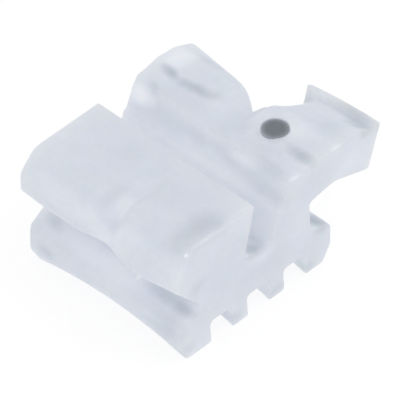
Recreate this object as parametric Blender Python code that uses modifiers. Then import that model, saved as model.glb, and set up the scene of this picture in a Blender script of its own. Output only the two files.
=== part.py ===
"""Ceramic orthodontic bracket with a power-arm hook, modelled in Blender at its real size in metres.

The bracket is one piece of translucent ceramic. X runs along the archwire slot (mesio-distal),
Y across it towards the hooked wing, and Z away from the tooth. The tooth side faces down.
"""

import math

import bmesh
import bpy

MM = 0.001

# Overall sizes
LENGTH = 3.10 * MM
BASE_WIDTH = 3.14 * MM
TOP_HEIGHT = 2.075 * MM
BASE_CENTRE_Y = -0.42 * MM
END_ROUNDING = 0.022 * MM

# Base: a flange all along both sides, its feet cut back under it
FLANGE_EDGE_HEIGHT = 0.63 * MM
FLANGE_ROOT_HEIGHT = 0.83 * MM
FLANGE_EDGE_RADIUS = 0.07 * MM
FLANGE_ROOT_RADIUS = 0.045 * MM
NECK_WIDTH = 2.28 * MM
FOOT_INSET = 0.16 * MM
FOOT_RISE = 0.27 * MM
FOOT_RADIUS = 0.12 * MM
TOE_RADIUS = 0.08 * MM
NEAR_CORNER_RADIUS = 0.05 * MM
FAR_CORNER_RADIUS = 0.23 * MM

# The tooth's surface, and the retention grooves in it, wider inside than at their mouths
TOOTH_RADIUS = 6.3 * MM
GROOVE_COUNT = 3
GROOVE_PITCH = 0.75 * MM
GROOVE_OFFSET = 0.06 * MM
GROOVE_MOUTH = 0.41 * MM
GROOVE_INSIDE = 0.48 * MM
GROOVE_DEPTH = 0.40 * MM
GROOVE_LIP_RADIUS = 0.06 * MM
GROOVE_INNER_RADIUS = 0.07 * MM

# Archwire slot: 0.022 inch wide, leaning by the torque angle, with a ledge on the hooked side
SLOT_WIDTH = 0.559 * MM
SLOT_TORQUE = math.radians(16)
SLOT_DRAFT = math.radians(3)
SLOT_FLOOR_Y = 0.04 * MM
SLOT_FLOOR_HEIGHT = 1.13 * MM
SLOT_CORNER_RADIUS = 0.03 * MM
SLOT_EDGE_RADIUS = 0.06 * MM
SLOT_LEDGE_HEIGHT = 1.69 * MM
SLOT_LEDGE_WIDTH = 0.05 * MM
SLOT_LEDGE_RISE = 0.05 * MM
SLOT_LEDGE_DRAFT_SHARE = 0.5
HOOKED_EDGE_HEIGHT = 1.965 * MM
PLAIN_EDGE_HEIGHT = 2.12 * MM
SLOT_MOUTH_REACH = 0.45 * MM
SLOT_HOOKED_MOUTH_SPREAD = 0.15 * MM

# Shallow saddle across the middle of the wings, and the share of it that reaches each corner
SADDLE_CENTRE = 0.06 * MM
SADDLE_HALF = 0.43 * MM
SADDLE_DEPTH = 0.25 * MM
SADDLE_BESIDE_SLOT = 0.1
SADDLE_UNDER_STEP = 0.3
SADDLE_ON_STEP = 0.8
SADDLE_AT_BROW = 0.6
SADDLE_AT_LIP = 0.4
SADDLE_AT_HOOK_CREST = 0.5
SCALLOP_HALF = 0.36 * MM
SCALLOP_DEPTH = 0.30 * MM
SCALLOP_OVER_NECK = 0.75
SCALLOP_PULL = 0.06 * MM

# Wings on the plain side: a bulge at the near end, a waist and a plainer far end
PLAIN_NEAR_REACH = 1.73 * MM
PLAIN_FAR_REACH = 1.655 * MM
PLAIN_WAIST_REACH = 1.57 * MM
PLAIN_NEAR_BULGE_X = 0.69 * MM
PLAIN_FAR_BULGE_X = 0.46 * MM
PLAIN_INSET_START = 0.92 * MM
PLAIN_NEAR_INSET = 0.09 * MM
PLAIN_FAR_INSET = 0.03 * MM
PLAIN_SLOT_SIDE_Y = 0.20 * MM
PLAIN_SHOULDER_HEIGHT = 1.77 * MM
PLAIN_LIP_HEIGHT = 1.44 * MM
PLAIN_ROOT_HEIGHT = 0.9 * MM
PLAIN_CREST_OUT = 0.19 * MM
PLAIN_CREST_RADIUS = 0.30 * MM
PLAIN_SHOULDER_RADIUS = 0.20 * MM

# Tops of both wings on the hooked side: a step up along them, then a broad crest
TOP_SLOT_SIDE_Y = 0.45 * MM
TOP_STEP_INSET = 0.24 * MM
TOP_STEP_WIDTH = 0.28 * MM
TOP_STEP_RADIUS = 0.12 * MM
TOP_CREST_OUT = 0.40 * MM
TOP_EASY_RADIUS = 0.30 * MM
TOP_CREST_RADIUS = 0.40 * MM
WING_ROOT_INSET = 0.03 * MM
WING_ROOT_RADIUS = 0.06 * MM
WING_LIP_RADIUS = 0.12 * MM

# Power-arm hook: a long lip with a hollow behind it, scooped out towards its end face
HOOK_LENGTH = 1.31 * MM
HOOK_REACH = 2.575 * MM
HOOK_TAPER = 0.065 * MM
HOOK_ROOT_HEIGHT = 1.35 * MM
HOOK_ARCH_HEIGHT = 1.43 * MM
HOOK_ARCH_INSET = 0.24 * MM
HOOK_ARCH_RADIUS = 0.45 * MM
HOOK_TIP_HEIGHT = 1.20 * MM
HOOK_TIP_INSET = 0.24 * MM
HOOK_TIP_RADIUS = 0.07 * MM
HOOK_LIP_HEIGHT = 1.95 * MM
HOOK_LIP_WIDTH = 0.10 * MM
HOOK_LIP_TOP = 0.03 * MM
HOOK_LIP_SPREAD = 0.05 * MM
HOOK_LIP_FALL = 0.05 * MM
HOOK_LIP_RADIUS = 0.02 * MM
HOOK_HOLLOW_DEPTH = 0.11 * MM
HOOK_HOLLOW_RADIUS = 0.06 * MM
HOOK_CREST_NEAR_OUT = 1.00 * MM
HOOK_CREST_FAR_OUT = 0.56 * MM
HOOK_CREST_SWEEP = 0.75 * MM
HOOK_CREST_RISE = 0.03 * MM
HOOK_CREST_RADIUS = 0.25 * MM
HOOK_STEP_RISE = 0.025 * MM
HOOK_NECK_DROP = 0.055 * MM
HOOK_SLOT_DROP = 0.045 * MM
SCOOP_LENGTH = 0.32 * MM
SCOOP_DEPTH = 0.30 * MM
SCOOP_SPREAD = 0.09 * MM
HOOK_FACE_DRAFT = 0.03 * MM
HOOK_FACE_FOLD = 0.05 * MM
HOOK_FOLD_SHARE = 0.3

# The other wing on the hooked side, with the waist that parts it from the hook
FAR_REACH = 2.04 * MM
FAR_TAPER = 0.20 * MM
FAR_ROOT_HEIGHT = 1.09 * MM
FAR_ARCH_OUT = 0.22 * MM
FAR_ARCH_HEIGHT = 1.25 * MM
FAR_TIP_INSET = 0.16 * MM
FAR_TIP_HEIGHT = 1.47 * MM
FAR_LIP_HEIGHT = 1.65 * MM
FAR_SHOULDER_INSET = 0.01 * MM
FAR_SHOULDER_HEIGHT = 1.81 * MM
FAR_BROW_INSET = 0.15 * MM
FAR_BROW_HEIGHT = 1.99 * MM
FAR_BROW_RADIUS = 0.20 * MM
FAR_CREST_RISE = 0.035 * MM
FAR_STEP_RISE = 0.03 * MM
FAR_NECK_DROP = 0.035 * MM
FAR_SLOT_DROP = 0.02 * MM
FAR_CROWN = 0.075 * MM
FAR_CROWN_LENGTH = 0.62 * MM
WAIST_X = 0.0 * MM
WAIST_INSET = 0.27 * MM
WAIST_STEP = 0.05 * MM
WAIST_LENGTH = 0.62 * MM
WAIST_EASE = 1.8
WEB_FLARE = 0.15 * MM

# Marking dot inlaid beside the saddle
DOT_DIAMETER = 0.434 * MM
DOT_THICKNESS = 0.06 * MM
DOT_X = 0.655 * MM
DOT_Y = 1.325 * MM
DOT_TOP_HEIGHT = 2.092 * MM
DOT_CLEARANCE = 0.006 * MM

# Where the hollow behind the lip comes in the hooked wing's list of corners
HOLLOW_CORNER = 5

# Fineness of the curves
ARC_POINTS = 5
LONGEST_TANGENT_SHARE = 0.47
SMALLEST_RADIUS_SHARE = 0.1
STATION_STEP = 0.11 * MM
FINE_STATION_STEP = 0.04 * MM
CLOSEST_STATIONS = 0.016 * MM
WAIST_STATIONS = 3
END_STEPS = 3
TOOTH_RING_STEPS = 144
DOT_SIDES = 40
OVERCUT = 0.3 * MM
WELD = 1e-8
SHARP_ANGLE = math.radians(35)


def clear_scene():
    for old in list(bpy.data.objects):
        bpy.data.objects.remove(old, do_unlink=True)


def new_collection(name):
    collection = bpy.data.collections.new(name)
    bpy.context.scene.collection.children.link(collection)
    return collection


def new_material(name, colour, roughness):
    material = bpy.data.materials.new(name)
    material.use_nodes = True
    shader = material.node_tree.nodes["Principled BSDF"]
    shader.inputs["Base Color"].default_value = (*colour, 1.0)
    shader.inputs["Roughness"].default_value = roughness
    shader.inputs["Metallic"].default_value = 0.0
    material.diffuse_color = (*colour, 1.0)
    return material


def ceramic_material():
    return new_material("translucent_ceramic", (0.70, 0.73, 0.78), 0.32)


def ink_material():
    return new_material("marking_ink", (0.17, 0.19, 0.22), 0.55)


def add_object(name, mesh, collection, parent):
    thing = bpy.data.objects.new(name, mesh)
    collection.objects.link(thing)
    thing.parent = parent
    return thing


def add_cutter(name, mesh, collection, parent):
    cutter = add_object(name, mesh, collection, parent)
    cutter.hide_render = True
    cutter.display_type = "WIRE"
    return cutter


def mesh_from(bm, name):
    """The bmesh as a mesh whose faces look outwards."""
    bmesh.ops.recalc_face_normals(bm, faces=bm.faces)
    mesh = bpy.data.meshes.new(name)
    bm.to_mesh(mesh)
    bm.free()
    return mesh


def unit(a, b):
    across, up = b[0] - a[0], b[1] - a[1]
    size = math.hypot(across, up)
    return across / size, up / size, size


def inset(corners, depth):
    """The outline moved inwards by depth, its round corners kept concentric. It runs anticlockwise."""
    moved = []
    for i, (y, z, radius) in enumerate(corners):
        before = unit(corners[i - 1], corners[i])
        after = unit(corners[i], corners[(i + 1) % len(corners)])
        turn = before[0] * after[1] - before[1] * after[0]
        mitre = depth / (1 + before[0] * after[0] + before[1] * after[1])
        least = SMALLEST_RADIUS_SHARE * radius
        moved_y = y - (before[1] + after[1]) * mitre
        moved_z = z + (before[0] + after[0]) * mitre
        moved.append((moved_y, moved_z, max(radius - math.copysign(depth, turn), least)))
    return moved


def rounded(corners, points=ARC_POINTS):
    """The outline's points, each corner with a radius replaced by an arc that touches both its sides."""
    outline = []
    for i, (y, z, radius) in enumerate(corners):
        if not radius:
            outline.append((y, z))
            continue
        before = unit(corners[i - 1], corners[i])
        after = unit(corners[i], corners[(i + 1) % len(corners)])
        cosine = max(-1.0, min(1.0, before[0] * after[0] + before[1] * after[1]))
        half_turn = math.acos(cosine) / 2
        longest = LONGEST_TANGENT_SHARE * min(before[2], after[2])
        tangent = min(radius * math.tan(half_turn), longest)
        start = (y - before[0] * tangent, z - before[1] * tangent)
        end = (y + after[0] * tangent, z + after[1] * tangent)
        for step in range(points):
            # A circular arc written as a rational curve through both ends and the corner
            t = step / (points - 1)
            weight = math.cos(half_turn)
            a, b, c = (1 - t) ** 2, 2 * t * (1 - t) * weight, t**2
            total = a + b + c
            outline.append(
                (
                    (a * start[0] + b * y + c * end[0]) / total,
                    (a * start[1] + b * z + c * end[1]) / total,
                )
            )
    return outline


def bump(distance, half_width):
    """1 in the middle, falling smoothly to 0 at half_width to either side."""
    if abs(distance) >= half_width:
        return 0.0
    return 0.5 + 0.5 * math.cos(math.pi * distance / half_width)


def ramp(value, start, end):
    """0 before start, 1 after end, smooth between them."""
    t = max(0.0, min(1.0, (value - start) / (end - start)))
    return t * t * (3 - 2 * t)


def base_half_width(x):
    """Half the base's width at x, less where its corners are rounded in plan."""
    radius = NEAR_CORNER_RADIUS if x > 0 else FAR_CORNER_RADIUS
    short = max(0.0, radius - (LENGTH / 2 - abs(x)))
    return BASE_WIDTH / 2 - radius + math.sqrt(radius**2 - short**2)


def tooth_rise(x):
    """The tooth surface's height at x, above where it meets the bracket's ends."""
    return math.sqrt(TOOTH_RADIUS**2 - x**2) - math.sqrt(TOOTH_RADIUS**2 - (LENGTH / 2) ** 2)


def hook_end():
    """Where along X the hook ends and the web begins."""
    return LENGTH / 2 - HOOK_LENGTH


def hook_wing(x, drop):
    """The hooked wing's corners, from its root under the wing, round the tip, to the top of the slot."""
    end = hook_end()
    taper = ((LENGTH / 2 - x) / HOOK_LENGTH) ** 2
    reach = HOOK_REACH - HOOK_TAPER * taper
    scoop = ramp(-x, -end - SCOOP_LENGTH, -end)
    sweep = ramp(LENGTH / 2 - x, 0, HOOK_CREST_SWEEP)
    neck = NECK_WIDTH / 2
    lip_top = HOOK_LIP_TOP + HOOK_LIP_SPREAD * taper
    hollow = (
        reach - HOOK_LIP_WIDTH - SCOOP_SPREAD * scoop,
        HOOK_LIP_HEIGHT - HOOK_HOLLOW_DEPTH - SCOOP_DEPTH * scoop,
        HOOK_HOLLOW_RADIUS,
    )
    crest = (
        neck + HOOK_CREST_NEAR_OUT * (1 - sweep) + HOOK_CREST_FAR_OUT * sweep,
        TOP_HEIGHT + HOOK_CREST_RISE - SADDLE_AT_HOOK_CREST * drop,
        HOOK_CREST_RADIUS,
    )
    step_foot = neck - TOP_STEP_INSET
    return [
        (neck - WING_ROOT_INSET, HOOK_ROOT_HEIGHT, WING_ROOT_RADIUS),
        ((neck + reach) / 2 - HOOK_ARCH_INSET, HOOK_ARCH_HEIGHT, HOOK_ARCH_RADIUS),
        (reach - HOOK_TIP_INSET, HOOK_TIP_HEIGHT, HOOK_TIP_RADIUS),
        (reach, HOOK_LIP_HEIGHT - HOOK_LIP_FALL * taper, HOOK_LIP_RADIUS),
        (reach - lip_top, HOOK_LIP_HEIGHT, HOOK_LIP_RADIUS),
        hollow,
        crest,
        (step_foot + TOP_STEP_WIDTH, TOP_HEIGHT + HOOK_STEP_RISE - SADDLE_ON_STEP * drop, TOP_STEP_RADIUS),
        (step_foot, TOP_HEIGHT - HOOK_NECK_DROP - SADDLE_UNDER_STEP * drop, TOP_STEP_RADIUS),
        (TOP_SLOT_SIDE_Y, TOP_HEIGHT - HOOK_SLOT_DROP - SADDLE_BESIDE_SLOT * drop, TOP_EASY_RADIUS),
    ]


def hook_stub(x, drop):
    """The hooked wing with its lip folded in: the first step of the hook's end face."""
    corners = hook_wing(x, drop)
    y, z, radius = corners[HOLLOW_CORNER]
    for step in (1, 2):
        folded = (y + step * HOOK_FACE_DRAFT, z - step * HOOK_FACE_FOLD, radius)
        corners[HOLLOW_CORNER - step] = folded
    return corners


def far_reach(x):
    """How far the far wing and the web stand out at x: drawn in to a waist, then out to the hook."""
    straight = FAR_REACH - FAR_TAPER * (1 + 2 * x / LENGTH)
    if x < WAIST_X:
        share = max(0.0, 1 + (x - WAIST_X) / WAIST_LENGTH)
        return straight - WAIST_INSET * share**WAIST_EASE
    near_waist = 1 - ramp(x, WAIST_X, WAIST_X + WAIST_STEP)
    return straight - WAIST_INSET * near_waist + WEB_FLARE * near_hook(x)


def near_hook(x):
    """0 up to the start of the web, 1 where it meets the hook."""
    return ramp(x, WAIST_X + WAIST_STEP, hook_end())


def far_wing(x, drop):
    """The other wing on the hooked side, corner by corner like hook_wing."""
    reach = far_reach(x)
    neck = NECK_WIDTH / 2
    step_foot = neck - TOP_STEP_INSET
    crown = FAR_CROWN * ramp(-x, LENGTH / 2 - FAR_CROWN_LENGTH, LENGTH / 2)
    web = near_hook(x)
    shoulder = (
        reach - FAR_SHOULDER_INSET,
        FAR_SHOULDER_HEIGHT - SADDLE_AT_LIP * drop,
        WING_LIP_RADIUS,
    )
    brow = (
        reach - FAR_BROW_INSET + SADDLE_AT_LIP * drop,
        FAR_BROW_HEIGHT - SADDLE_AT_BROW * drop,
        FAR_BROW_RADIUS,
    )
    crest = (
        neck + TOP_CREST_OUT + (HOOK_CREST_FAR_OUT - TOP_CREST_OUT) * web,
        TOP_HEIGHT + FAR_CREST_RISE + crown / 2 - drop * (1 - (1 - SADDLE_AT_HOOK_CREST) * web),
        TOP_CREST_RADIUS,
    )
    step_top = (
        step_foot + TOP_STEP_WIDTH,
        TOP_HEIGHT + FAR_STEP_RISE + crown - SADDLE_ON_STEP * drop,
        TOP_STEP_RADIUS,
    )
    slot_side = (
        TOP_SLOT_SIDE_Y,
        TOP_HEIGHT - FAR_SLOT_DROP + crown / 2 - SADDLE_BESIDE_SLOT * drop,
        TOP_EASY_RADIUS,
    )
    return [
        (neck - WING_ROOT_INSET, FAR_ROOT_HEIGHT, WING_ROOT_RADIUS),
        (neck + FAR_ARCH_OUT, FAR_ARCH_HEIGHT, TOP_EASY_RADIUS),
        (reach - FAR_TIP_INSET, FAR_TIP_HEIGHT, WING_LIP_RADIUS),
        (reach, FAR_LIP_HEIGHT, WING_LIP_RADIUS),
        shoulder,
        brow,
        crest,
        step_top,
        (step_foot, TOP_HEIGHT - FAR_NECK_DROP + crown - SADDLE_UNDER_STEP * drop, TOP_STEP_RADIUS),
        slot_side,
    ]


def hooked_side(x, drop):
    """The corners on the hooked side: the hook, its end face, then the web and the far wing."""
    if x >= hook_end():
        return hook_wing(x, drop)
    if x > hook_end() - HOOK_FACE_DRAFT:
        return hook_stub(x, drop)
    return far_wing(x, drop)


def plain_reach(x):
    """How far the plain side's wings stand out at x."""
    half = LENGTH / 2
    narrowing = ramp(abs(x), PLAIN_INSET_START, half)
    if x > SADDLE_CENTRE:
        bulge = (PLAIN_NEAR_REACH - PLAIN_WAIST_REACH) * ramp(x, SADDLE_CENTRE, PLAIN_NEAR_BULGE_X)
        return PLAIN_WAIST_REACH + bulge - PLAIN_NEAR_INSET * narrowing
    bulge = (PLAIN_FAR_REACH - PLAIN_WAIST_REACH) * ramp(-x, -SADDLE_CENTRE, PLAIN_FAR_BULGE_X)
    return PLAIN_WAIST_REACH + bulge - PLAIN_FAR_INSET * narrowing


def plain_wing(x):
    """The tie wings opposite the hook, from the slot round their lip to their root."""
    scallop = bump(x - SADDLE_CENTRE, SCALLOP_HALF)
    drop = SCALLOP_DEPTH * scallop
    pull = SCALLOP_PULL * scallop
    crest_out = PLAIN_CREST_OUT * (1 - scallop)
    reach = plain_reach(x)
    neck = NECK_WIDTH / 2
    return [
        (-PLAIN_SLOT_SIDE_Y, TOP_HEIGHT - SADDLE_BESIDE_SLOT * drop, TOP_EASY_RADIUS),
        (-neck - crest_out + pull, TOP_HEIGHT - SCALLOP_OVER_NECK * drop, PLAIN_CREST_RADIUS),
        (-reach + pull, PLAIN_SHOULDER_HEIGHT - drop, PLAIN_SHOULDER_RADIUS),
        (-reach, PLAIN_LIP_HEIGHT, WING_LIP_RADIUS),
        (-neck, PLAIN_ROOT_HEIGHT, FLANGE_ROOT_RADIUS),
    ]


def section(x):
    """The bracket's corners at x, anticlockwise seen from +X, before the slot and grooves are cut."""
    half = base_half_width(x)
    neck = NECK_WIDTH / 2
    rise = tooth_rise(x)
    toe = half - FOOT_INSET * (1 + rise / FOOT_RISE)
    drop = SADDLE_DEPTH * bump(x - SADDLE_CENTRE, SADDLE_HALF)
    return [
        (toe, 0, TOE_RADIUS),
        (half, rise + FOOT_RISE, FOOT_RADIUS),
        (half, FLANGE_EDGE_HEIGHT, FLANGE_EDGE_RADIUS),
        (neck, FLANGE_ROOT_HEIGHT, FLANGE_ROOT_RADIUS),
        *hooked_side(x, drop),
        *plain_wing(x),
        (-neck, FLANGE_ROOT_HEIGHT, FLANGE_ROOT_RADIUS),
        (-half, FLANGE_EDGE_HEIGHT, FLANGE_EDGE_RADIUS),
        (-half, rise + FOOT_RISE, FOOT_RADIUS),
        (-toe, 0, TOE_RADIUS),
    ]


def even_steps(start, end, longest):
    """Places from start towards end, evenly spaced and no further apart than longest."""
    count = math.ceil((start - end) / longest)
    return {start + (end - start) * i / count for i in range(count)}


def stations():
    """Where sections are taken along X: close together about the saddle and the far corners."""
    near, far = LENGTH / 2 - END_ROUNDING, -LENGTH / 2 + END_ROUNDING
    folded = hook_end() - HOOK_FOLD_SHARE * HOOK_FACE_DRAFT
    kept = [near, far, hook_end(), folded, hook_end() - HOOK_FACE_DRAFT]
    kept += [WAIST_X + WAIST_STEP * i / WAIST_STATIONS for i in range(WAIST_STATIONS + 1)]
    wanted = set(kept)
    wanted |= even_steps(near, far, STATION_STEP)
    wanted |= even_steps(SADDLE_CENTRE + SADDLE_HALF, SADDLE_CENTRE - SADDLE_HALF, FINE_STATION_STEP)
    wanted |= even_steps(far + FAR_CORNER_RADIUS, far, FINE_STATION_STEP)
    places = []
    for place in sorted(wanted, reverse=True):
        close_to_kept = min(abs(place - other) for other in kept) < CLOSEST_STATIONS
        close_to_last = places and places[-1] - place < CLOSEST_STATIONS
        if place in kept or not (close_to_kept or close_to_last):
            places.append(place)
    return places


def ring_at(bm, x, depth=0.0):
    """One section at x as a ring of vertices, moved inwards by depth."""
    corners = section(x)
    if depth:
        corners = inset(corners, depth)
    return [bm.verts.new((x, y, z)) for y, z in rounded(corners)]


def end_rings(bm, side):
    """The rings of a rounded end, from the face inwards."""
    rings = []
    for step in range(END_STEPS):
        angle = math.pi / 2 * (step + 1) / END_STEPS
        x = side * (LENGTH / 2 - END_ROUNDING * (1 - math.sin(angle)))
        rings.append(ring_at(bm, side * (LENGTH / 2 - END_ROUNDING), END_ROUNDING * (1 - math.cos(angle))))
        for vertex in rings[-1]:
            vertex.co.x = x
    return rings[::-1]


def lofted_blank():
    """The bracket before cutting, lofted through its sections from the hooked end to the far end."""
    bm = bmesh.new()
    rings = end_rings(bm, 1)
    rings += [ring_at(bm, x) for x in stations()]
    rings += end_rings(bm, -1)[::-1]
    for ring, following in zip(rings, rings[1:]):
        for i in range(len(ring)):
            j = (i + 1) % len(ring)
            bm.faces.new((ring[i], following[i], following[j], ring[j]))
    bm.faces.new(rings[0])
    bm.faces.new(rings[-1][::-1])
    bmesh.ops.remove_doubles(bm, verts=bm.verts, dist=WELD)
    return mesh_from(bm, "bracket_body")


def prism_mesh(name, outline, half_length):
    """A flat outline in Y and Z, drawn as a 2D curve and extruded both ways along X."""
    curve = bpy.data.curves.new(name, "CURVE")
    curve.dimensions = "2D"
    curve.fill_mode = "BOTH"
    curve.extrude = half_length
    spline = curve.splines.new("POLY")
    spline.points.add(len(outline) - 1)
    for point, (y, z) in zip(spline.points, outline):
        point.co = (y, z, 0, 1)
    spline.use_cyclic_u = True
    drawn = bpy.data.objects.new(name, curve)
    bpy.context.scene.collection.objects.link(drawn)
    bpy.context.view_layer.update()
    graph = bpy.context.evaluated_depsgraph_get()
    mesh = bpy.data.meshes.new_from_object(drawn.evaluated_get(graph))
    bpy.data.objects.remove(drawn, do_unlink=True)
    bm = bmesh.new()
    bm.from_mesh(mesh)
    bmesh.ops.remove_doubles(bm, verts=bm.verts, dist=WELD)
    for vertex in bm.verts:
        y, z, x = vertex.co
        vertex.co = (x, y, z)
    return mesh_from(bm, name)


def slot_corners():
    """The slot's outline in its own frame, floor at the origin, then leant over by the torque."""
    half = SLOT_WIDTH / 2
    slope = math.tan(SLOT_DRAFT)
    cosine, sine = math.cos(SLOT_TORQUE), math.sin(SLOT_TORQUE)
    ledge = (SLOT_LEDGE_HEIGHT - SLOT_FLOOR_HEIGHT) / cosine
    under_ledge = half + SLOT_LEDGE_DRAFT_SHARE * slope * ledge
    hooked_entry = (HOOKED_EDGE_HEIGHT - SLOT_FLOOR_HEIGHT + (half + SLOT_LEDGE_WIDTH) * sine) / cosine
    plain_entry = (PLAIN_EDGE_HEIGHT - SLOT_FLOOR_HEIGHT - half * sine) / cosine
    hooked_edge = half + SLOT_LEDGE_WIDTH + slope * hooked_entry
    plain_edge = half + slope * plain_entry
    own = [
        (half, 0, SLOT_CORNER_RADIUS),
        (under_ledge, ledge - SLOT_LEDGE_RISE / 2, SLOT_CORNER_RADIUS),
        (under_ledge + SLOT_LEDGE_WIDTH, ledge + SLOT_LEDGE_RISE / 2, SLOT_CORNER_RADIUS),
        (hooked_edge, hooked_entry, SLOT_EDGE_RADIUS),
        (hooked_edge + SLOT_HOOKED_MOUTH_SPREAD, hooked_entry + SLOT_MOUTH_REACH, 0),
        (-plain_edge - SLOT_MOUTH_REACH, plain_entry + SLOT_MOUTH_REACH, 0),
        (-plain_edge, plain_entry, SLOT_EDGE_RADIUS),
        (-half, 0, SLOT_CORNER_RADIUS),
    ]
    return [
        (SLOT_FLOOR_Y + y * cosine + z * sine, SLOT_FLOOR_HEIGHT - y * sine + z * cosine, radius)
        for y, z, radius in own
    ]


def groove_comb():
    """The tooth side's outline across the base: the tooth's surface with the three undercut grooves."""
    surface = TOOTH_RADIUS
    edge = BASE_WIDTH / 2 + OVERCUT
    corners = [(-edge, surface - OVERCUT, 0), (edge, surface - OVERCUT, 0), (edge, surface, 0)]
    for i in reversed(range(GROOVE_COUNT)):
        centre = GROOVE_OFFSET + (i - (GROOVE_COUNT - 1) / 2) * GROOVE_PITCH
        corners += [
            (centre + GROOVE_MOUTH / 2, surface, GROOVE_LIP_RADIUS),
            (centre + GROOVE_INSIDE / 2, surface + GROOVE_DEPTH, GROOVE_INNER_RADIUS),
            (centre - GROOVE_INSIDE / 2, surface + GROOVE_DEPTH, GROOVE_INNER_RADIUS),
            (centre - GROOVE_MOUTH / 2, surface, GROOVE_LIP_RADIUS),
        ]
    corners.append((-edge, surface, 0))
    return corners


def tooth_cutter(collection, parent):
    """The tooth's curved surface and the grooves as one ring, turned about an axis along Y."""
    bm = bmesh.new()
    verts = [bm.verts.new((0, y, radius)) for y, radius in rounded(groove_comb())]
    for i in range(len(verts)):
        bm.edges.new((verts[i - 1], verts[i]))
    mesh = bpy.data.meshes.new("tooth_cutter")
    bm.to_mesh(mesh)
    bm.free()
    cutter = add_cutter("tooth_cutter", mesh, collection, parent)
    cutter.location.z = tooth_rise(0) - TOOTH_RADIUS
    screw = cutter.modifiers.new("turn", "SCREW")
    screw.axis = "Y"
    screw.angle = 2 * math.pi
    screw.steps = TOOTH_RING_STEPS
    screw.render_steps = TOOTH_RING_STEPS
    screw.use_merge_vertices = True
    screw.merge_threshold = WELD
    return cutter


def slot_cutter(collection, parent):
    mesh = prism_mesh("slot_cutter", rounded(slot_corners()), LENGTH / 2 + OVERCUT)
    return add_cutter("slot_cutter", mesh, collection, parent)


def disc_mesh(name, diameter, bottom, top):
    bm = bmesh.new()
    bmesh.ops.create_cone(
        bm,
        cap_ends=True,
        segments=DOT_SIDES,
        radius1=diameter / 2,
        radius2=diameter / 2,
        depth=top - bottom,
    )
    bmesh.ops.translate(bm, verts=bm.verts, vec=(DOT_X, DOT_Y, (top + bottom) / 2))
    return mesh_from(bm, name)


def dot_pocket_cutter(collection, parent):
    """The shallow round pocket that holds the marking dot."""
    floor = DOT_TOP_HEIGHT - DOT_THICKNESS - DOT_CLEARANCE
    mesh = disc_mesh("dot_pocket_cutter", DOT_DIAMETER + 2 * DOT_CLEARANCE, floor, floor + OVERCUT)
    return add_cutter("dot_pocket_cutter", mesh, collection, parent)


def cut(body, cutter):
    boolean = body.modifiers.new(cutter.name, "BOOLEAN")
    boolean.operation = "DIFFERENCE"
    boolean.solver = "EXACT"
    boolean.object = cutter


def shade_round(thing):
    """Smooth shading all over but on the two flat end faces."""
    for polygon in thing.data.polygons:
        polygon.use_smooth = polygon.loop_total == 4
    thing.data.set_sharp_from_angle(angle=SHARP_ANGLE)


def make_bracket_body(parts, cutters, frame):
    """The one-piece ceramic bracket."""
    body = add_object("bracket_body", lofted_blank(), parts, frame)
    body.data.materials.append(ceramic_material())
    shade_round(body)
    cut(body, tooth_cutter(cutters, frame))
    cut(body, slot_cutter(cutters, frame))
    cut(body, dot_pocket_cutter(cutters, frame))
    shading = body.modifiers.new("shading", "WEIGHTED_NORMAL")
    shading.weight = 100
    shading.keep_sharp = True
    return body


def make_marking_dot(parts, frame):
    """The round ink mark that tells the orthodontist which tooth and side the bracket is for."""
    mesh = disc_mesh("marking_dot", DOT_DIAMETER, DOT_TOP_HEIGHT - DOT_THICKNESS, DOT_TOP_HEIGHT)
    dot = add_object("marking_dot", mesh, parts, frame)
    dot.data.materials.append(ink_material())
    return dot


def main():
    clear_scene()
    parts = new_collection("ceramic_orthodontic_bracket")
    cutters = new_collection("cutters")
    frame = bpy.data.objects.new("bracket_frame", None)
    frame.location.y = BASE_CENTRE_Y
    parts.objects.link(frame)
    make_bracket_body(parts, cutters, frame)
    make_marking_dot(parts, frame)


main()
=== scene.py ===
"""Looks for the ceramic orthodontic bracket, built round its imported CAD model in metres."""

import math

import bpy
from mathutils import Matrix, Vector


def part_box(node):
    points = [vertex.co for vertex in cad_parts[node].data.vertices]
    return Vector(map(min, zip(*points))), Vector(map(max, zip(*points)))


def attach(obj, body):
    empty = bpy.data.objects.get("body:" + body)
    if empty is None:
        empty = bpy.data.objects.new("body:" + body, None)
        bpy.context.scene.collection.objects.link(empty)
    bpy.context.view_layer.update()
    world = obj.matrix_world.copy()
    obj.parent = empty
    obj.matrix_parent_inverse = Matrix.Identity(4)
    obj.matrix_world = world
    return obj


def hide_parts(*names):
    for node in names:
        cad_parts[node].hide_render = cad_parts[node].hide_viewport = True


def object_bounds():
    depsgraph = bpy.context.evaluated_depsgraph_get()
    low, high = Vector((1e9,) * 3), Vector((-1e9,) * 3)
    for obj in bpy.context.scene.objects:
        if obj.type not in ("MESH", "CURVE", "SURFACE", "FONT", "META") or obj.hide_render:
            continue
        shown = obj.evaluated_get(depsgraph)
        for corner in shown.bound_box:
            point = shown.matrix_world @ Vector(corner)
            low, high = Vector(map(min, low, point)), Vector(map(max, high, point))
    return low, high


MM = 0.001

# The refined surface, with its voxels in millimetres. A voxel remesh gives quads, two triangles each.
VOXEL = 0.013
SMOOTH_PASSES = 3
SMOOTH_FACTOR = 0.5
MOST_TRIANGLES = 180000
TRIANGLES_A_FACE = 2

# The camera. The photo is 400 pixels wide and shows 70 pixels to a millimetre.
VIEW_WIDTH = 400 / 70 * MM
LOOK_AT = Vector((0.160, -0.124, 1.059)) * MM
CAMERA_AZIMUTH = 44.05
CAMERA_ELEVATION = 43.0
CAMERA_DISTANCE = 120 * MM
CAMERA_NEAR = 1 * MM
CAMERA_FAR = 10
SENSOR = 36

# The studio: a pale floor that keeps the shadow, an even white world and one soft lamp, in metres and watts.
FLOOR_SIDE = 0.4
FLOOR_GREY = 0.21
FLOOR_GLOW = 0.81
WORLD_STRENGTH = 0.9
KEY_AZIMUTH = 120
KEY_ELEVATION = 55
KEY_DISTANCE = 60 * MM
KEY_SIZE = 30 * MM
KEY_POWER = 0.004

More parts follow.
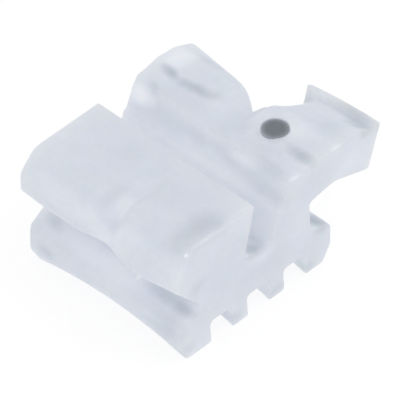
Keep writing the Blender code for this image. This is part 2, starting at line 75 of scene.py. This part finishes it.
# Each noise below is four numbers: a scale to a millimetre, a detail, and the lowest and highest number that
# it gives, where the noise itself is at NOISE_LOW and NOISE_HIGH.
NOISE_ROUGHNESS = 0.55
NOISE_LOW = 0.3
NOISE_HIGH = 0.7

# The ceramic: its colour where light comes back from it and where light comes through it, the share of the
# second, and how far light wanders below the surface. Clouds and mottles change its brightness.
CERAMIC = (0.775, 0.805, 0.855)
CERAMIC_THROUGH = (0.88, 0.895, 0.927)
THROUGH_SHARE = 0.6
CERAMIC_IOR = 1.5
LIGHT_REACH = 0.5 * MM
CLOUDS = (1.7, 2, -0.02, 0.02)
MOTTLES = (14, 3, -0.012, 0.012)
CERAMIC_ROUGHNESS = (6, 3, 0.32, 0.46)
GRAIN_SCALE = 22
GRAIN_DETAIL = 4
GRAIN_STRENGTH = 0.25
GRAIN_HEIGHT = 0.004 * MM

# Painted shade is a little cooler than the ceramic and painted light whiter, and the clouds and mottles take
# the same shares: the shares of a change in tone that red, green and blue take. The drifts are a scale to a
# millimetre and a reach, the first in millimetres.
MARK_SHARES = (1.12, 1.0, 0.94)
MARK_DRIFT = (2.2, 0.16)
TINT_DRIFT = (3.0, 0.05)

# The marking ink, paler towards its rim. It lies a little off the middle of its disc, in millimetres. Its
# pale rim and its paler edge each have the share of the radius where they begin and the brightness they add.
INK = (0.147, 0.160, 0.184)
INK_OFFSET = Vector((0.010, -0.010, -0.002))
INK_MARGIN = 0.002
INK_RIM = (0.55, 0.7)
INK_EDGE = (0.90, 1.6)
INK_CLOUDS = (9, 3, 0.94, 1.06)
INK_ROUGHNESS = (16, 2, 0.48, 0.62)

# Painted shade and painted light: soft fields of tone in the ceramic, in millimetres: centre, half sizes,
# turn about Z in degrees, change of brightness. They stand in for shade in hollows, creases and under the
# wings, for highlights and glints on rims, and for darker and brighter places made by light that passes
# through the piece. A mark fades to nothing at MARK_END times its half sizes.
MARK_END = 1.25
PAINTED_SHADE_STREAKS = [
    # painted shade: dark streaks beside the dot, on the far wing, and along the slot's far wall
    ((1.32, 0.76, 2.09), (0.34, 0.12, 0.16), 0, -0.23),
    ((-1.25, 0.69, 2.12), (0.20, 0.11, 0.16), 0, -0.26),
    ((-0.72, 0.73, 2.10), (0.48, 0.11, 0.16), 10, -0.20),
    ((-1.20, 0.34, 2.05), (0.17, 0.08, 0.12), -12, -0.11),
    ((1.16, 0.33, 2.02), (0.42, 0.13, 0.12), 0, -0.11),
    ((1.30, 0.17, 1.70), (0.45, 0.12, 0.15), 0, -0.07),
]
PAINTED_SHADES = [
    # painted shade on the hook and in its hollow
    ((1.16, 2.04, 1.89), (0.48, 0.16, 0.14), 0, -0.24),
    ((1.37, 1.86, 1.96), (0.31, 0.18, 0.14), 0, -0.19),
    ((1.43, 1.77, 2.05), (0.13, 0.12, 0.12), 0, -0.15),
    ((1.18, 1.50, 2.10), (0.46, 0.30, 0.20), 0, -0.10),
    ((0.30, 1.95, 1.72), (0.12, 0.16, 0.22), 0, -0.14),
    ((0.60, 2.00, 1.88), (0.32, 0.12, 0.14), 0, -0.09),
    # painted shade on the outer edge of the far wing
    ((-1.10, 1.32, 2.04), (0.32, 0.13, 0.20), 0, -0.07),
    # painted shade on the tops of the wings on the plain side
    ((1.34, -1.14, 2.07), (0.30, 0.36, 0.20), 0, -0.15),
    ((1.33, -1.58, 2.05), (0.34, 0.40, 0.20), 0, -0.13),
    ((-0.12, -1.50, 2.00), (0.24, 0.30, 0.20), 0, -0.05),
    # painted shade on the slot floor at its near end
    ((1.45, -0.38, 1.13), (0.20, 0.24, 0.14), 0, -0.26),
    ((1.22, -0.20, 1.08), (0.22, 0.12, 0.10), 0, -0.12),
    # painted shadow of the hook on the flange on the hooked side
    ((1.38, 0.97, 0.71), (0.27, 0.26, 0.14), 0, -0.29),
    # painted shade in the undercut under the wing on the plain side at its near end, and on the end face
    # beside it
    ((1.10, -1.67, 0.78), (0.66, 0.14, 0.12), 0, -0.13),
    ((1.36, -1.71, 0.76), (0.22, 0.16, 0.12), 0, -0.10),
    ((1.55, -1.64, 1.28), (0.10, 0.20, 0.18), 0, -0.07),
    # painted shade on the flange on the plain side, far end
    ((-1.22, -1.70, 0.78), (0.20, 0.13, 0.12), 0, -0.12),
    ((-1.14, -1.99, 0.49), (0.26, 0.08, 0.18), 0, -0.12),
    ((-1.45, -1.92, 0.60), (0.14, 0.20, 0.26), 0, -0.05),
    # painted shade on the outside of the flange on the plain side, and on the feet, near end
    ((1.35, -1.95, 0.55), (0.42, 0.15, 0.26), 0, -0.12),
    ((1.45, -1.90, 0.20), (0.35, 0.30, 0.20), 0, -0.08),
    ((1.50, -0.86, 0.12), (0.30, 0.25, 0.12), 0, -0.12),
    ((1.50, 0.00, 0.10), (0.30, 0.25, 0.12), 0, -0.10),
    ((1.50, 0.62, 0.10), (0.30, 0.25, 0.14), 0, -0.12),
]
PAINTED_LIGHT_PATCHES = [
    # painted light on the far wing and the slot's far wall
    ((-1.33, 1.02, 2.13), (0.22, 0.36, 0.30), 0, 0.13),
    ((-1.34, 0.22, 1.88), (0.28, 0.14, 0.18), 0, 0.20),
    ((0.62, 0.20, 1.92), (0.34, 0.11, 0.11), 0, 0.14),
    # painted light on the end face below the hook
    ((1.55, 1.50, 1.58), (0.12, 0.70, 0.40), 0, 0.05),
    # painted light round the dot
    ((0.18, 0.95, 2.05), (0.30, 0.34, 0.15), 0, 0.12),
    ((0.67, 0.92, 2.09), (0.38, 0.38, 0.20), 0, 0.24),
    ((0.98, 1.10, 2.09), (0.28, 0.28, 0.15), 0, 0.10),
    # painted highlights on rims and small painted glints
    ((1.54, 0.38, 2.05), (0.05, 0.16, 0.06), 0, 0.18),
    ((1.54, 1.21, 2.08), (0.05, 0.10, 0.06), 0, 0.14),
    ((1.545, -1.40, 2.06), (0.03, 0.44, 0.05), 0, 0.08),
    ((1.54, -1.82, 2.01), (0.04, 0.045, 0.05), 0, 0.40),
    ((0.42, -1.68, 0.78), (0.045, 0.045, 0.05), 0, 0.50),
    # painted light on the outer edge of the wings on the plain side, and on the waist between them
    ((0.15, -1.98, 1.76), (1.90, 0.16, 0.28), 0, 0.08),
    ((0.10, -1.15, 1.97), (0.20, 0.40, 0.18), 0, 0.08),
    ((0.04, -1.60, 1.80), (0.17, 0.36, 0.26), 0, 0.17),
    ((0.05, -1.92, 1.50), (0.28, 0.20, 0.22), 0, 0.09),
    # painted light in the undercut on the plain side, lifting its shade
    ((-0.15, -1.74, 0.76), (1.25, 0.32, 0.20), 0, 0.13),
    # painted light in the slot, lifting its shade
    ((-0.35, -0.10, 1.38), (1.75, 0.38, 0.48), 0, 0.13),
    ((0.15, 0.10, 1.65), (1.30, 0.14, 0.28), 0, 0.11),
    # painted light on the near end face beside the slot
    ((1.55, -0.30, 1.00), (0.12, 0.40, 0.18), 0, 0.07),
    ((1.55, 0.45, 1.10), (0.10, 0.45, 0.60), 0, 0.06),
]


def node(tree, kind, **settings):
    made = tree.nodes.new(kind)
    for name, value in settings.items():
        setattr(made, name, value)
    return made


def new_material(name):
    material = bpy.data.materials.new(name)
    material.use_nodes = True
    return material, material.node_tree, material.node_tree.nodes["Principled BSDF"]


def place_in_mm(tree):
    """The point on the piece in millimetres, in the piece's own frame."""
    place = node(tree, "ShaderNodeTexCoord")
    scaled = node(tree, "ShaderNodeVectorMath", operation="SCALE")
    scaled.inputs["Scale"].default_value = 1 / MM
    tree.links.new(place.outputs["Object"], scaled.inputs[0])
    return scaled.outputs["Vector"]


def noise(tree, place, scale, detail):
    made = node(tree, "ShaderNodeTexNoise")
    made.inputs["Scale"].default_value = scale
    made.inputs["Detail"].default_value = detail
    made.inputs["Roughness"].default_value = NOISE_ROUGHNESS
    tree.links.new(place, made.inputs["Vector"])
    return made.outputs["Fac"]


def ranged(tree, value, low, high, to_low, to_high, kind="LINEAR"):
    made = node(tree, "ShaderNodeMapRange", interpolation_type=kind)
    for name, number in (("From Min", low), ("From Max", high), ("To Min", to_low), ("To Max", to_high)):
        made.inputs[name].default_value = number
    tree.links.new(value, made.inputs["Value"])
    return made.outputs["Result"]


def clouded(tree, place, scale, detail, low, high):
    """Noise spread over the range from low to high."""
    return ranged(tree, noise(tree, place, scale, detail), NOISE_LOW, NOISE_HIGH, low, high)


def added(tree, first, second):
    made = node(tree, "ShaderNodeMath", operation="ADD")
    tree.links.new(first, made.inputs[0])
    tree.links.new(second, made.inputs[1])
    return made.outputs["Value"]


def painted_shade_and_light_mark(tree, place, centre, half_sizes, turn, change):
    """A soft ellipsoid of painted shade or painted light: change in its middle, fading to nothing at
    MARK_END times its half sizes.
    """
    local = node(tree, "ShaderNodeMapping", vector_type="TEXTURE")
    local.inputs["Location"].default_value = centre
    local.inputs["Rotation"].default_value = (0, 0, math.radians(turn))
    local.inputs["Scale"].default_value = half_sizes
    away = node(tree, "ShaderNodeVectorMath", operation="LENGTH")
    tree.links.new(place, local.inputs["Vector"])
    tree.links.new(local.outputs["Vector"], away.inputs[0])
    return ranged(tree, away.outputs["Value"], 0, MARK_END, change, 0, "SMOOTHSTEP")


def tinted(tree, colour, tone):
    """The colour made brighter or darker by tone, one number or one for each of red, green and blue."""
    made = node(tree, "ShaderNodeVectorMath", operation="MULTIPLY")
    made.inputs[0].default_value = colour
    tree.links.new(tone, made.inputs[1])
    return made.outputs["Vector"]


def drifted(tree, place, value, scale, reach):
    """Three numbers, each moved by noise of its own, up to half of reach either way."""
    drift = node(tree, "ShaderNodeTexNoise")
    drift.inputs["Scale"].default_value = scale
    tree.links.new(place, drift.inputs["Vector"])
    centred = node(tree, "ShaderNodeVectorMath", operation="SUBTRACT")
    centred.inputs[1].default_value = (0.5, 0.5, 0.5)
    tree.links.new(drift.outputs["Color"], centred.inputs[0])
    moved = node(tree, "ShaderNodeVectorMath", operation="MULTIPLY_ADD")
    moved.inputs[1].default_value = (reach, reach, reach)
    tree.links.new(centred.outputs["Vector"], moved.inputs[0])
    tree.links.new(value, moved.inputs[2])
    return moved.outputs["Vector"]


def ceramic_tone_and_painted_light(tree, place):
    """The brightness of red, green and blue, about 1, with clouds and mottles and the painted shade and
    painted light of all marks in it.
    """
    uneven = drifted(tree, place, place, *MARK_DRIFT)
    change = clouded(tree, place, *CLOUDS)
    change = added(tree, change, clouded(tree, place, *MOTTLES))
    # each mark adds painted shade where its change is negative and painted light where it is positive
    for centre, half_sizes, turn, amount in PAINTED_SHADE_STREAKS + PAINTED_SHADES + PAINTED_LIGHT_PATCHES:
        change = added(tree, change, painted_shade_and_light_mark(tree, uneven, centre, half_sizes, turn, amount))
    tone = node(tree, "ShaderNodeVectorMath", operation="MULTIPLY_ADD")
    tone.inputs[1].default_value = MARK_SHARES
    tone.inputs[2].default_value = (1, 1, 1)
    tree.links.new(change, tone.inputs[0])
    return drifted(tree, place, tone.outputs["Vector"], *TINT_DRIFT)


def ceramic_material():
    """Translucent alumina: light passes into it and through its wings, so its tones stay close together. Its
    colour also holds painted shade and painted highlights.
    """
    material, tree, shader = new_material("ceramic_look")
    place = place_in_mm(tree)
    # the tone carries the painted shade and painted light of the marks, beside the clouds and mottles, into
    # both colours
    tone = ceramic_tone_and_painted_light(tree, place)
    tree.links.new(tinted(tree, CERAMIC, tone), shader.inputs["Base Color"])
    tree.links.new(clouded(tree, place, *CERAMIC_ROUGHNESS), shader.inputs["Roughness"])
    grain = node(tree, "ShaderNodeBump")
    grain.inputs["Strength"].default_value = GRAIN_STRENGTH
    grain.inputs["Distance"].default_value = GRAIN_HEIGHT
    tree.links.new(noise(tree, place, GRAIN_SCALE, GRAIN_DETAIL), grain.inputs["Height"])
    tree.links.new(grain.outputs["Normal"], shader.inputs["Normal"])
    shader.inputs["IOR"].default_value = CERAMIC_IOR
    shader.inputs["Subsurface Weight"].default_value = 1.0
    shader.inputs["Subsurface Radius"].default_value = (1.0, 1.0, 1.0)
    shader.inputs["Subsurface Scale"].default_value = LIGHT_REACH
    through = node(tree, "ShaderNodeBsdfTranslucent")
    tree.links.new(tinted(tree, CERAMIC_THROUGH, tone), through.inputs["Color"])
    both = node(tree, "ShaderNodeMixShader")
    both.inputs["Fac"].default_value = THROUGH_SHARE
    tree.links.new(shader.outputs["BSDF"], both.inputs[1])
    tree.links.new(through.outputs["BSDF"], both.inputs[2])
    tree.links.new(both.outputs["Shader"], tree.nodes["Material Output"].inputs["Surface"])
    return material


def ink_material(low, high):
    """Matt dark ink, slightly cloudy and thinner towards its rim, on a disc with the given box."""
    middle = Vector(((low.x + high.x) / 2, (low.y + high.y) / 2, high.z)) / MM + INK_OFFSET
    radius = (high.x - low.x) / 2 / MM - INK_MARGIN
    material, tree, shader = new_material("ink_look")
    place = place_in_mm(tree)
    away = node(tree, "ShaderNodeVectorMath", operation="DISTANCE")
    away.inputs[1].default_value = middle
    tree.links.new(place, away.inputs[0])
    rim = ranged(tree, away.outputs["Value"], INK_RIM[0] * radius, radius, 0, INK_RIM[1], "SMOOTHSTEP")
    edge = ranged(tree, away.outputs["Value"], INK_EDGE[0] * radius, radius, 0, INK_EDGE[1])
    tone = added(tree, added(tree, clouded(tree, place, *INK_CLOUDS), rim), edge)
    tree.links.new(tinted(tree, INK, tone), shader.inputs["Base Color"])
    tree.links.new(clouded(tree, place, *INK_ROUGHNESS), shader.inputs["Roughness"])
    return material


def apply_modifiers(thing):
    """The thing's mesh becomes what its modifiers make of it."""
    bpy.context.view_layer.update()
    graph = bpy.context.evaluated_depsgraph_get()
    mesh = bpy.data.meshes.new_from_object(thing.evaluated_get(graph))
    thing.modifiers.clear()
    thing.data = mesh


def refined_copy(cad, name):
    """The CAD node's surface as a fine even mesh with softly rounded edges, worked on in millimetres."""
    mesh = cad.data.copy()
    mesh.transform(Matrix.Scale(1 / MM, 4))
    thing = bpy.data.objects.new(name, mesh)
    bpy.context.scene.collection.objects.link(thing)
    remesh = thing.modifiers.new("even_mesh", "REMESH")
    remesh.mode = "VOXEL"
    remesh.voxel_size = VOXEL
    remesh.adaptivity = 0
    smooth = thing.modifiers.new("soft_edges", "SMOOTH")
    smooth.factor = SMOOTH_FACTOR
    smooth.iterations = SMOOTH_PASSES
    apply_modifiers(thing)
    thin = thing.modifiers.new("fewer_faces", "DECIMATE")
    thin.ratio = min(1.0, MOST_TRIANGLES / (TRIANGLES_A_FACE * len(thing.data.polygons)))
    apply_modifiers(thing)
    thing.data.transform(Matrix.Scale(MM, 4))
    thing.data.polygons.foreach_set("use_smooth", [True] * len(thing.data.polygons))
    return thing


def make_floor(height):
    material, tree, shader = new_material("paper_floor")
    shader.inputs["Base Color"].default_value = (FLOOR_GREY, FLOOR_GREY, FLOOR_GREY, 1)
    shader.inputs["Roughness"].default_value = 1.0
    shader.inputs["Specular IOR Level"].default_value = 0.0
    shader.inputs["Emission Color"].default_value = (1, 1, 1, 1)
    shader.inputs["Emission Strength"].default_value = FLOOR_GLOW
    bpy.ops.mesh.primitive_plane_add(size=FLOOR_SIDE, location=(0, 0, height))
    floor = bpy.context.object
    floor.name = "floor"
    floor.data.materials.append(material)


def make_world():
    world = bpy.data.worlds.new("studio")
    world.use_nodes = True
    back = world.node_tree.nodes["Background"]
    back.inputs["Color"].default_value = (1, 1, 1, 1)
    back.inputs["Strength"].default_value = WORLD_STRENGTH
    bpy.context.scene.world = world


def aim(thing, azimuth, elevation, distance):
    """Put the thing in the scene, looking at the bracket. Azimuth 0 is towards -Y and 90 towards +X."""
    a, e = math.radians(azimuth), math.radians(elevation)
    away = Vector((math.sin(a) * math.cos(e), -math.cos(a) * math.cos(e), math.sin(e)))
    thing.location = LOOK_AT + away * distance
    thing.rotation_euler = away.to_track_quat("Z", "Y").to_euler()
    bpy.context.scene.collection.objects.link(thing)


def make_lamp():
    light = bpy.data.lights.new("key", "AREA")
    light.size = KEY_SIZE
    light.energy = KEY_POWER
    lamp = bpy.data.objects.new("key", light)
    aim(lamp, KEY_AZIMUTH, KEY_ELEVATION, KEY_DISTANCE)


def make_camera():
    lens = bpy.data.cameras.new("camera")
    lens.sensor_width = SENSOR
    lens.lens = SENSOR * CAMERA_DISTANCE / VIEW_WIDTH
    lens.clip_start = CAMERA_NEAR
    lens.clip_end = CAMERA_FAR
    camera = bpy.data.objects.new("camera", lens)
    aim(camera, CAMERA_AZIMUTH, CAMERA_ELEVATION, CAMERA_DISTANCE)
    bpy.context.scene.camera = camera


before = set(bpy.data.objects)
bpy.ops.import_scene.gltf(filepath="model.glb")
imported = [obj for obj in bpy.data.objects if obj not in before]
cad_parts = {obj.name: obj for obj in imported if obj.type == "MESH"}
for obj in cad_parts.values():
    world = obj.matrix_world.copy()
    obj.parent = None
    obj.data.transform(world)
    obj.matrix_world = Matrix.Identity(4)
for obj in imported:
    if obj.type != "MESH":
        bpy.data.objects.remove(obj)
size_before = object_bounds()

body = refined_copy(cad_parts["bracket_body"], "ceramic_body")
body.data.materials.clear()
body.data.materials.append(ceramic_material())
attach(body, "root")
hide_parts("bracket_body")

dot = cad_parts["marking_dot"]
dot.data.materials.clear()
dot.data.materials.append(ink_material(*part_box("marking_dot")))

make_floor(float(size_before[0][2]))
make_world()
make_lamp()
make_camera()
bpy.context.scene.view_settings.view_transform = "Standard"
